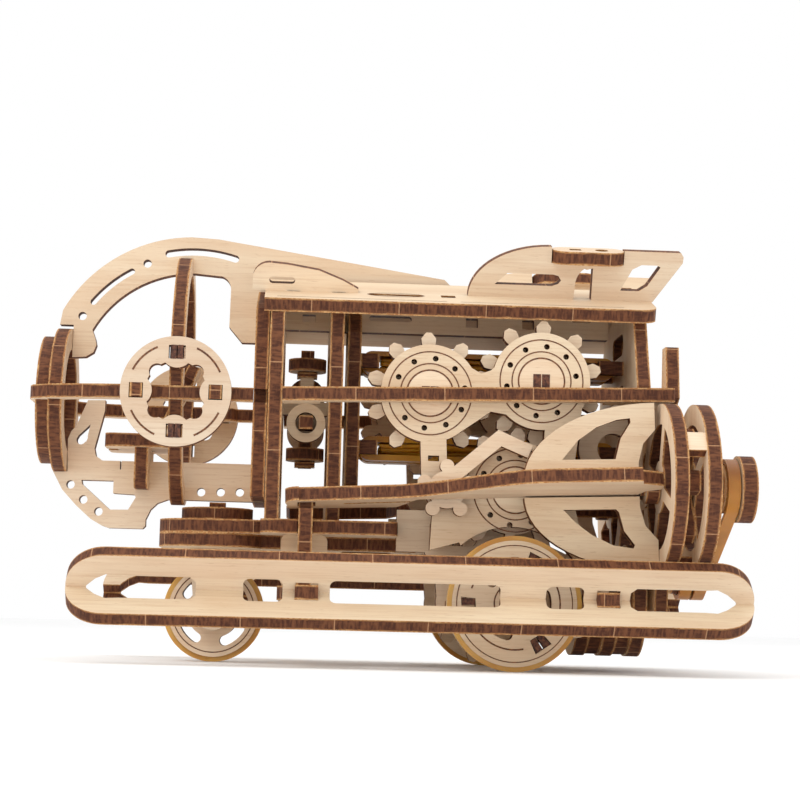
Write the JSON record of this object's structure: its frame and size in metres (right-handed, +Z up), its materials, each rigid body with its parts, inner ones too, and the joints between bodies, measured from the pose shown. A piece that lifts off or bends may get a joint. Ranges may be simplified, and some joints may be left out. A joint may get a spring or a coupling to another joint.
{
  "type": "wooden 3d jigsaw model",
  "caption": "Wheeled plywood submarine model of plug-together plates with a side gear train, rubber-band motor, steerable front wheel and ducted propellers on belts.",
  "frame": {"origin": "centre of the assembled model's bounding box in X and Y, on the ground under the wheels", "axes": "+X towards the stern and propellers, +Y across to the far side, +Z up"},
  "size_m": [0.1554, 0.0996, 0.0962],
  "materials": {
    "birch_ply": "bare laser-cut birch plywood, charred edges",
    "dark_ply": "bare laser-cut plywood seen on its charred edges",
    "amber_rubber": "translucent amber rubber"
  },
  "bodies": {
    "hull": {"keel_plate": "birch_ply", "bow_lower_plate": "birch_ply", "bow_ring_outer": "birch_ply", "bow_ring_inner": "birch_ply", "bow_ring_main": "birch_ply", "bow_rib": "birch_ply", "porthole_frames": "birch_ply", "cockpit_table": "birch_ply", "bulkhead_front": "birch_ply", "bulkhead_second": "birch_ply", "bulkhead_mid": "birch_ply", "anchor_plate": "dark_ply", "bulkhead_rear": "birch_ply", "stern_frame": "birch_ply", "deck_near": "birch_ply", "deck_far": "birch_ply", "deck_fairings": "birch_ply", "tower_sides": "birch_ply", "tower_caps": "birch_ply", "side_rails": "birch_ply", "gear_plate_near": "birch_ply", "gear_plate_far": "birch_ply", "inner_side_plates": "birch_ply", "stern_side_plates": "birch_ply", "chassis_top_plate": "birch_ply", "chassis_bottom_plate": "birch_ply", "float_upper_panels": "birch_ply", "float_lower_panels": "birch_ply", "outriggers": "birch_ply", "arm_posts": "birch_ply", "wing_near": "birch_ply", "wing_far": "birch_ply", "wing_fins": "birch_ply", "duct_rings_front": "birch_ply", "duct_rings_rear": "birch_ply", "rubber_bands": "amber_rubber", "drive_belts": "amber_rubber", "roller_cross": "dark_ply"},
    "steering": {"steering_turntable": "dark_ply", "front_fork": "birch_ply"},
    "front_wheel_set": {"front_wheel": "birch_ply", "front_tyre": "amber_rubber"},
    "rear_axle_set": {"rear_axle": "birch_ply", "rear_gears": "birch_ply", "rear_wheels": "birch_ply", "rear_tyres": "amber_rubber"},
    "lower_gear_set": {"lower_gears": "birch_ply", "lower_gear_axle": "birch_ply"},
    "middle_gear_set": {"middle_gears": "birch_ply", "middle_gear_axle": "birch_ply"},
    "front_gear_set": {"front_gears": "birch_ply", "front_gear_axle": "birch_ply"},
    "drum_set": {"drum": "birch_ply"},
    "belt_pulley_set": {"belt_pulley": "dark_ply"},
    "near_propeller_set": {"propeller_near": "dark_ply"},
    "far_propeller_set": {"propeller_far": "dark_ply"},
    "mode_lever_set": {"mode_lever": "birch_ply"},
    "cockpit_lever_set": {"cockpit_lever": "dark_ply"},
    "vertical_roller_set": {"vertical_rollers": "dark_ply"},
    "cross_roller_set": {"cross_rollers": "birch_ply"}
  },
  "joints": [
    {"name": "front_steering", "type": "hinge", "parent": "hull", "child": "steering", "pos_m": [-0.03655, 0, 0.026], "axis": [0, 0, 1], "range_deg": [-28, 28]},
    {"name": "front_wheel_spin", "type": "hinge", "parent": "steering", "child": "front_wheel_set", "pos_m": [-0.03655, 0, 0.0112], "axis": [0, 1, 0], "continuous": true},
    {"name": "rear_axle_spin", "type": "hinge", "parent": "hull", "child": "rear_axle_set", "pos_m": [0.02755, 0, 0.0142], "axis": [0, 1, 0], "continuous": true},
    {"name": "lower_gear_spin", "type": "hinge", "parent": "hull", "child": "lower_gear_set", "pos_m": [0.02797, 0, 0.0385], "axis": [0, 1, 0], "continuous": true},
    {"name": "middle_gear_spin", "type": "hinge", "parent": "hull", "child": "middle_gear_set", "pos_m": [0.03323, 0, 0.06222], "axis": [0, 1, 0], "continuous": true},
    {"name": "front_gear_spin", "type": "hinge", "parent": "hull", "child": "front_gear_set", "pos_m": [0.00917, 0, 0.05884], "axis": [0, 1, 0], "continuous": true},
    {"name": "drum_spin", "type": "hinge", "parent": "hull", "child": "drum_set", "pos_m": [0.04965, 0, 0.016], "axis": [1, 0, 0], "continuous": true},
    {"name": "belt_pulley_spin", "type": "hinge", "parent": "hull", "child": "belt_pulley_set", "pos_m": [0.06565, 0, 0.0225], "axis": [1, 0, 0], "continuous": true},
    {"name": "near_propeller_spin", "type": "hinge", "parent": "hull", "child": "near_propeller_set", "pos_m": [0.06565, -0.032, 0.0396], "axis": [1, 0, 0], "continuous": true},
    {"name": "far_propeller_spin", "type": "hinge", "parent": "hull", "child": "far_propeller_set", "pos_m": [0.06565, 0.032, 0.0396], "axis": [1, 0, 0], "continuous": true},
    {"name": "mode_lever_turn", "type": "hinge", "parent": "hull", "child": "mode_lever_set", "pos_m": [0.01305, -0.028, 0.038], "axis": [0, 1, 0], "range_deg": [-6, 12]},
    {"name": "cockpit_lever_tilt", "type": "hinge", "parent": "hull", "child": "cockpit_lever_set", "pos_m": [-0.04905, 0, 0.0519], "axis": [0, 1, 0], "range_deg": [-40, 8]},
    {"name": "vertical_roller_spin", "type": "hinge", "parent": "hull", "child": "vertical_roller_set", "pos_m": [-0.01725, 0, 0.057], "axis": [0, 0, 1], "continuous": true},
    {"name": "cross_roller_spin", "type": "hinge", "parent": "hull", "child": "cross_roller_set", "pos_m": [-0.01725, 0, 0.0531], "axis": [0, 1, 0], "continuous": true}
  ],
  "couplings": [
    {"joint": "lower_gear_spin", "follows": "rear_axle_spin", "ratio": -1},
    {"joint": "middle_gear_spin", "follows": "rear_axle_spin", "ratio": 1},
    {"joint": "front_gear_spin", "follows": "rear_axle_spin", "ratio": -1},
    {"joint": "belt_pulley_spin", "follows": "near_propeller_spin", "ratio": 1.1064},
    {"joint": "far_propeller_spin", "follows": "near_propeller_spin", "ratio": 1}
  ]
}
